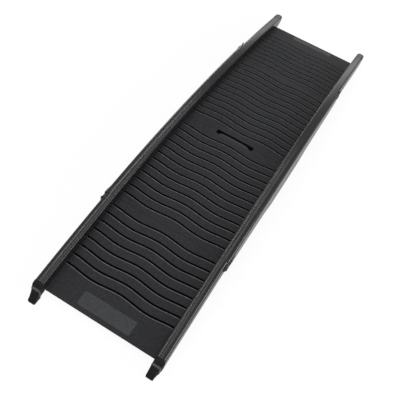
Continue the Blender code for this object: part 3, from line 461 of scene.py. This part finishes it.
def deck_structure(half, part):
    """What lies under a panel's skin: the plate's underside, ribs, flanges, beam and lugs."""
    name = f"{half}_{part}_panel"
    bm = bmesh.new()
    bm.from_mesh(nodes[name].data)
    bmesh.ops.remove_doubles(bm, verts=bm.verts, dist=1e-6)
    piece = add_piece(f"{name}_structure", bm, [DECK], f"{half}_half", (name,), 30)
    slab = bmesh.new()
    start, stop = (-0.05, DECK_SEAM + 0.05) if part == "middle" else (DECK_SEAM - 0.05, HALF_DECK + 0.05)
    sections = []
    for s in steps(start, stop, 40):
        floor = deck_height(s) - SKIN
        section = [(-0.2, s, floor), (0.2, s, floor), (0.2, s, floor + 0.02), (-0.2, s, floor + 0.02)]
        sections.append([(u * TURN[half], y * TURN[half], z) for u, y, z in section])
    add_sweep(slab, sections)
    cut(piece, slab)
    piece.data.shade_smooth()
    piece.data.set_sharp_from_angle(angle=math.radians(30))
    return piece


def build_deck():
    for half in TURN:
        middle = deck_skin(half, "middle", GAP / 2, DECK_SEAM - GAP / 2,
                           [FIRST_GROOVE + GROOVE_PITCH * i for i in range(MIDDLE_GROOVES)])
        cut(middle, slot_solid(half))
        middle.data.set_sharp_from_angle(angle=math.radians(50))
        deck_skin(half, "end", DECK_SEAM + GAP / 2, HALF_DECK,
                  [DECK_SEAM + END_GROOVE_START + GROOVE_PITCH * i for i in range(END_GROOVES)])
        for part in ("middle", "end"):
            deck_structure(half, part)


def blank_label(half, s0, s1, width):
    """A plain raised field near an end edge, with nothing on it."""
    rise = 0.00035
    round_corner = 0.004
    sections = []
    for inset, height in ((0.0, -0.0002), (0.0, rise * 0.5), (0.0002, rise * 0.85), (0.0006, rise)):
        half_width = width / 2 - inset
        low, high = s0 + inset, s1 - inset
        outline = arc(half_width - round_corner, low + round_corner, round_corner, -90, 0, 6)
        outline += arc(half_width - round_corner, high - round_corner, round_corner, 0, 90, 6)
        outline += arc(-half_width + round_corner, high - round_corner, round_corner, 90, 180, 6)
        outline += arc(-half_width + round_corner, low + round_corner, round_corner, 180, 270, 6)
        sections.append([(u, s, deck_height(s) + height) for u, s in outline])
    bm = bmesh.new()
    add_sweep(bm, sections)
    add_piece(f"{half}_blank_label", bm, [LABEL], f"{half}_half", (), 50, TURN[half])


# ---------------------------------------------------------------- side rails
def rail_outline(s, width):
    """Cross-section (across, height) of a rail: an upside-down channel with rolled edges."""
    top = deck_height(s) + RAIL_TOP - RAIL_CROWN
    outer_bottom = wall_bottom(s)
    inner_bottom = max(deck_height(s) - INNER_WALL_DROP, outer_bottom)
    wall = RAIL_WALL
    lip = wall / 2
    inside = OUTER_ROUND - wall * 0.6
    crest = arc(INNER_ROUND, top - INNER_ROUND, INNER_ROUND, 180, 90, 7)
    crest += [(u, top) for u in steps(INNER_ROUND, width - OUTER_ROUND, 8)[1:-1]]
    crest += arc(width - OUTER_ROUND, top - OUTER_ROUND, OUTER_ROUND, 90, 0, 12)
    points = [(0.0, inner_bottom + lip)]
    points += [(u, z + RAIL_CROWN * (1 - (2 * u / width - 1) ** 2)) for u, z in crest]
    points += arc(width - lip, outer_bottom + lip, lip, 0, -180, 6)
    points += arc(width - wall - inside, top - wall - inside, inside, 0, 90, 6)
    points += arc(wall + INNER_ROUND, top - wall - INNER_ROUND, INNER_ROUND, 90, 180, 4)
    points += arc(lip, inner_bottom + lip, lip, 0, -150, 5)
    return points


OUTER_SIDE_POINTS = 28      # the first points of the outline: up the inner wall and over the top


def rail_sweep(bm, stations, width, side):
    sections = []
    for s in stations:
        sections.append([(side * (HALF_WIDTH + u), s, z) for u, z in rail_outline(s, width)])
    add_sweep(bm, sections)


def half_side(half, side):
    return "right" if side * TURN[half] > 0 else "left"


def middle_rail(half, side):
    name = f"{half}_middle_rail_{half_side(half, side)}"
    s0, s1 = GAP / 2, RAIL_SEAM - GAP / 2
    bm = bmesh.new()
    rail_sweep(bm, steps(s0, s1, 72), MIDDLE_RAIL_WIDTH, side)
    sections = []
    for s in (s0 + 0.0001, s0 + RAIL_WALL):
        outline = rail_outline(s, MIDDLE_RAIL_WIDTH)[:OUTER_SIDE_POINTS]
        edge = FOLD_PLATE_EDGE
        outline = [(u + edge if u < 0.01 else u - edge, z - edge) for u, z in outline]
        outline += [(MIDDLE_RAIL_WIDTH - edge, BELLY + FOLD_PLATE_LIFT), (edge, BELLY + FOLD_PLATE_LIFT)]
        sections.append([(side * (HALF_WIDTH + u), s, z) for u, z in outline])
    add_sweep(bm, sections)
    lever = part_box(f"{half}_clip_lever_{half_side(half, side)}")
    tip = min(abs(lever[0].y), abs(lever[1].y))
    middle, tall = (lever[0].z + lever[1].z) / 2, (lever[1].z - lever[0].z) / 2
    for (past_tip, length, rise), reach in ((CATCH, tall - CATCH_INSET), (GUARD, tall)):
        add_ramp(bm, tip + past_tip, length, rise, middle, reach, side)
    rail = add_piece(name + "_shell", bm, [RAIL], f"{half}_half", (name,), 40, TURN[half])
    bevel_edges(rail, RAIL_EDGE, 2, 50)


def add_ramp(bm, start, length, rise, middle, reach, side):
    """A wedge on the outer wall: steep at its start and running out along the rail."""
    face = HALF_WIDTH + MIDDLE_RAIL_WIDTH
    root = face - 0.001
    profile = [(root, start)]
    for share in (0.0, 0.02, 0.05, 0.3, 0.6, 0.85, 1.0):
        lift = rise * (0.8 if share == 0 else 0.95 if share == 0.02 else 1 - smooth((share - 0.05) / 0.95))
        profile.append((face + lift, start + length * share))
    profile.append((root, start + length))
    ease = RAMP_EASE
    sections = []
    for h, shrink in ((-reach, ease), (-reach + ease, 0.0), (reach - ease, 0.0), (reach, ease)):
        section = [(side * max(u - shrink, root), s, middle + h) for u, s in profile]
        sections.append(section)
    add_sweep(bm, sections)


def end_rail(half, side):
    name = f"{half}_end_rail_{half_side(half, side)}"
    stop = NEAR_RAIL_END if half == "near" else FAR_RAIL_END
    bm = bmesh.new()
    rail_sweep(bm, steps(RAIL_SEAM + GAP / 2, stop, 56), END_RAIL_WIDTH, side)
    rail = add_piece(name + "_shell", bm, [RAIL], f"{half}_half", (name,), 40, TURN[half])
    bevel_edges(rail, RAIL_EDGE, 2, 50)


# ---------------------------------------------------------------- feet and tips
def soft_section(s, low, high, u0, u1, side, soft):
    """A section with rounded upper corners and slightly eased lower ones."""
    ease = min(0.0012, soft / 2)
    points = arc(u0 + ease, low + ease, ease, 180, 270, 3)
    points += arc(u1 - ease, low + ease, ease, 270, 360, 3)
    points += arc(u1 - soft, high - soft, soft, 0, 90, 8)
    points += arc(u0 + soft, high - soft, soft, 90, 180, 8)
    return [(side * (HALF_WIDTH + u), s, z) for u, z in points]


def interpolate(stations, s):
    """Row of a table whose first column is s, interpolated in a straight line."""
    for a, b in zip(stations, stations[1:]):
        if s <= b[0]:
            t = (s - a[0]) / (b[0] - a[0])
            return [x + (y - x) * t for x, y in zip(a[1:], b[1:])]
    return list(stations[-1][1:])


def foot_section(s, low, high, u0, u1, side, soft, ribs):
    """Section of the boot: rounded upper corners, with lengthwise grooves in the top where it is ribbed."""
    ease = min(0.0012, soft / 2)
    points = arc(u0 + ease, low + ease, ease, 180, 270, 3)
    points += arc(u1 - ease, low + ease, ease, 270, 360, 3)
    points += arc(u1 - soft, high - soft, soft, 0, 90, 8)
    for k in range(1, 40):
        share = k / 40
        wave = 0.5 - 0.5 * math.cos(2 * math.pi * 5 * share)
        across = u1 - soft + (u0 - u1 + 2 * soft) * share
        points.append((across, high - ribs * smooth((0.45 - wave) / 0.3)))
    points += arc(u0 + soft, high - soft, soft, 90, 180, 8)
    return [(side * (HALF_WIDTH + u), s, z) for u, z in points]


def near_foot(side):
    """Rubber boot: a collar that rolls over the rail's end, a raised band and a ribbed foot on the ground.
    The collar is coloured darker than the foot as painted shade, and the band light as a painted highlight.
    """
    name = f"near_foot_{half_side('near', side)}"
    s0 = NEAR_RAIL_END + GAP
    top = deck_height(s0) + RAIL_TOP
    heel = RAMP_REACH - HEEL_BACK
    toe = RAMP_REACH - TOE_BACK
    # along, bottom, top, share of the side insets, corner rounding
    stations = [
        (s0, 0.0110, top - 0.0004, 0.0, 0.0070),
        (s0 + 0.003, 0.0104, top - 0.0006, 0.0, 0.0070),
        (s0 + 0.006, 0.0098, top - 0.0016, 0.0, 0.0068),
        (s0 + 0.009, 0.0090, top - 0.0036, 0.02, 0.0064),
        (s0 + 0.012, 0.0080, top - 0.0068, 0.08, 0.0060),
        (heel - 0.003, 0.0066, top - 0.0118, 0.28, 0.0052),
        (heel, 0.0004, top - 0.0166, 0.45, 0.0045),
        (heel + 0.006, 0.0, top - 0.0260, 0.75, 0.0040),
        (RAMP_REACH - 0.007, 0.0, 0.0140, 1.0, 0.0030),
        (toe, 0.0, 0.0102, 1.0, 0.0026),
        (RAMP_REACH, 0.0002, 0.0062, 1.0, 0.0020),
    ]
    band_start, band_stop = heel - 0.0030, heel + 0.0008
    # The collar's darker rubber is painted shade, the band's light plastic a painted highlight.
    bodies = (("collar", s0, band_start, [COLLAR_PAINTED_SHADE]), ("band", band_start + 0.0001, band_stop, [BAND_PAINTED_HIGHLIGHT]),
              ("tread", band_stop + 0.0001, RAMP_REACH, [RUBBER]))
    for part, start, stop, finish in bodies:
        sections = []
        for s in steps(start, stop, 84 if part == "tread" else 16):
            low, high, share, soft = interpolate(stations, s)
            inner, outer = -FOOT_SPREAD * share, END_RAIL_WIDTH - FOOT_INSET * share
            ribs = 0.0
            if part == "tread":
                ribs = TREAD_DEPTH
                if s < toe:
                    wave = math.cos(2 * math.pi * (s - start) / CROSS_RIB_PITCH)
                    high -= CROSS_RIB_DEPTH * smooth((wave - 0.1) / 0.6)
                round_off = max(0.0, (s - toe) / (RAMP_REACH - toe))
                pull = TOE_ROUND * (1 - math.sqrt(max(0.0, 1 - round_off ** 2)))
                inner, outer = inner + pull, outer - pull
                soft = min(soft, (outer - inner) / 2.3)
            if part == "band":
                swell = BAND_SWELL * math.sin(math.pi * (s - start) / (stop - start)) ** 0.5
                inner, outer, high = inner - swell, outer + swell, high + swell
            low = min(low, high - 2.4 * soft)
            sections.append(foot_section(s, max(low, 0.0), high, inner, outer, side, soft, ribs))
        bm = bmesh.new()
        add_sweep(bm, sections)
        add_piece(f"{name}_{part}", bm, finish, "near_half", (name,), 32, TURN["near"])


def far_tip(side):
    """Nose on the rail's far end, level on top with its underside sweeping up."""
    name = f"far_tip_{half_side('far', side)}"
    s0 = FAR_RAIL_END + GAP
    reach = RAMP_REACH - s0
    base = wall_bottom(s0) + 0.002
    sections = []
    for share in [0.0, 0.01, 0.1, 0.2, 0.3, 0.4, 0.5, 0.6, 0.7, 0.78, 0.85, 0.90, 0.94, 0.97, 0.99, 1.0]:
        s = s0 + reach * share
        nose = max(0.0, (share - 0.72) / 0.28)
        curl = 1 - math.sqrt(max(0.0, 1 - nose * nose))
        high = deck_height(s) + RAIL_TOP - 0.0085 * curl
        low = base + 0.0205 * share ** 1.6 + 0.0085 * curl
        tuck = 0.0080 * curl
        soft = min(OUTER_ROUND * (1 - 0.25 * curl), (high - low) / 2.2)
        sections.append(soft_section(s, low, high, tuck, END_RAIL_WIDTH - tuck, side, soft))
    bm = bmesh.new()
    add_sweep(bm, sections)
    add_piece(name + "_nose", bm, [RAIL], "far_half", (name,), 40, TURN["far"])


# ---------------------------------------------------------------- small CAD pieces
def finish_node(name, material, edge):
    """Ease a CAD node's edges and give it its material."""
    node = nodes[name]
    node.data.materials.clear()
    node.data.materials.append(material)
    weld = node.modifiers.new("weld", "WELD")
    weld.merge_threshold = 0.00001
    if edge:
        bevel_edges(node, edge, 2, 35)


NODE_FINISHES = [
    ("splice", DECK, 0.0003), ("hinge_leaf", STEEL, 0.0002), ("hinge_pin", STEEL, 0.0002),
    ("handle_pin", STEEL, 0.0), ("clip_bracket", CLIP, 0.0002), ("clip_lever", CLIP, 0.0003),
    ("screw", SCREW, 0.0002), ("far_pad", RUBBER, 0.0012), ("carry_handle", HANDLE, 0.0004),
]


def finish_nodes():
    for name in sorted(nodes):
        if nodes[name].hide_render:
            continue
        for part, material, edge in NODE_FINISHES:
            if part in name:
                finish_node(name, material, edge)
                break


# ---------------------------------------------------------------- studio
def add_floor():
    """A pale plane, mostly clear to the camera, clear from below and letting some light up through it."""
    bpy.ops.mesh.primitive_plane_add(size=30)
    floor = bpy.context.object
    floor.name = "studio_floor"
    made, tree, shader = new_material("studio_floor")
    shader.inputs["Base Color"].default_value = (0.93, 0.93, 0.93, 1)
    shader.inputs["Roughness"].default_value = 0.9
    shader.inputs["Specular IOR Level"].default_value = 0.1
    clear = tree.nodes.new("ShaderNodeBsdfTransparent")
    mix = tree.nodes.new("ShaderNodeMixShader")
    path = tree.nodes.new("ShaderNodeLightPath")
    side = tree.nodes.new("ShaderNodeNewGeometry")
    share = tree.nodes.new("ShaderNodeMath")
    share.operation = "MAXIMUM"
    through = map_range(tree, path.outputs["Is Camera Ray"], 0, 1, FLOOR_GLOW, FLOOR_CLEAR)
    tree.links.new(through, share.inputs[0])
    tree.links.new(side.outputs["Backfacing"], share.inputs[1])
    tree.links.new(share.outputs[0], mix.inputs[0])
    tree.links.new(shader.outputs[0], mix.inputs[1])
    tree.links.new(clear.outputs[0], mix.inputs[2])
    tree.links.new(mix.outputs[0], tree.nodes["Material Output"].inputs["Surface"])
    floor.data.materials.append(made)


def add_area(name, place, aim, size, power):
    """A soft light that looks at a point, or straight down where it has none."""
    data = bpy.data.lights.new(name, "AREA")
    data.shape = "RECTANGLE"
    data.size, data.size_y = size
    data.energy = power
    light = bpy.data.objects.new(name, data)
    bpy.context.scene.collection.objects.link(light)
    light.location = place
    if aim:
        light.rotation_euler = (Vector(aim) - Vector(place)).to_track_quat("-Z", "Y").to_euler()


FLOOR_CLEAR = 0.90          # of the backdrop seen through the floor
FLOOR_GLOW = 0.40           # of the light that comes up through it
WORLD_BACKDROP = 1.0
WORLD_LIGHT = 0.48


def add_light():
    """A white backdrop, dimmer as a light than the camera sees it, with soft boxes and two long strips."""
    world = bpy.data.worlds.new("studio")
    bpy.context.scene.world = world
    world.use_nodes = True
    tree = world.node_tree
    back = tree.nodes["Background"]
    back.inputs["Color"].default_value = (1, 1, 1, 1)
    path = tree.nodes.new("ShaderNodeLightPath")
    strength = map_range(tree, path.outputs["Is Camera Ray"], 0, 1, WORLD_LIGHT, WORLD_BACKDROP)
    tree.links.new(strength, back.inputs["Strength"])
    add_area("back_left_softbox", (-3.8, 4.2, 1.0), (0, 0.0, 0.05), (3.4, 0.8), 60)
    add_area("back_softbox", (-0.3, 5.0, 1.6), (0, 0.0, 0), (3.0, 1.0), 16)
    add_area("right_softbox", (4.0, 0.6, 1.6), (0.3, 0, 0), (3.0, 1.2), 100)
    add_area("top_softbox", (0.2, -2.4, 3.4), (0, -0.3, 0), (3.0, 2.0), 70)
    add_area("left_strip", (-1.36, 1.2, 3.4), None, (0.20, 4.4), 24)
    add_area("right_strip", (-0.24, 1.2, 3.4), None, (0.30, 4.4), 12)


CAMERA_PLACE = Vector((0.33241, -1.25083, 1.38332))
CAMERA_AIM = Vector((0.01851, -0.23543, 0.02615))
CAMERA_ROLL = 0.27523
CAMERA_LENS = 51.801
CAMERA_SHIFT = (-0.0025, 0.0003)


def add_camera():
    data = bpy.data.cameras.new("camera")
    data.sensor_width = 36.0
    data.lens = CAMERA_LENS
    data.shift_x, data.shift_y = CAMERA_SHIFT
    data.clip_end = 100
    camera = bpy.data.objects.new("camera", data)
    bpy.context.scene.collection.objects.link(camera)
    forward = (CAMERA_AIM - CAMERA_PLACE).normalized()
    level = forward.cross(Vector((0, 0, 1))).normalized()
    rise = level.cross(forward)
    right = level * math.cos(CAMERA_ROLL) + rise * math.sin(CAMERA_ROLL)
    up = rise * math.cos(CAMERA_ROLL) - level * math.sin(CAMERA_ROLL)
    turn = Matrix((right, up, -forward)).transposed()
    camera.matrix_world = Matrix.Translation(CAMERA_PLACE) @ turn.to_4x4()
    bpy.context.scene.camera = camera


# ---------------------------------------------------------------- make it
build_deck()
blank_label("near", HALF_DECK - 0.052, HALF_DECK - 0.012, 0.160)
blank_label("far", HALF_DECK - 0.034, HALF_DECK - 0.010, 0.160)
for half in TURN:
    for side in (-1, 1):
        middle_rail(half, side)
        end_rail(half, side)
for side in (-1, 1):
    near_foot(side)
    far_tip(side)
finish_nodes()
add_floor()
add_light()
add_camera()
bpy.context.scene.view_settings.view_transform = "Standard"
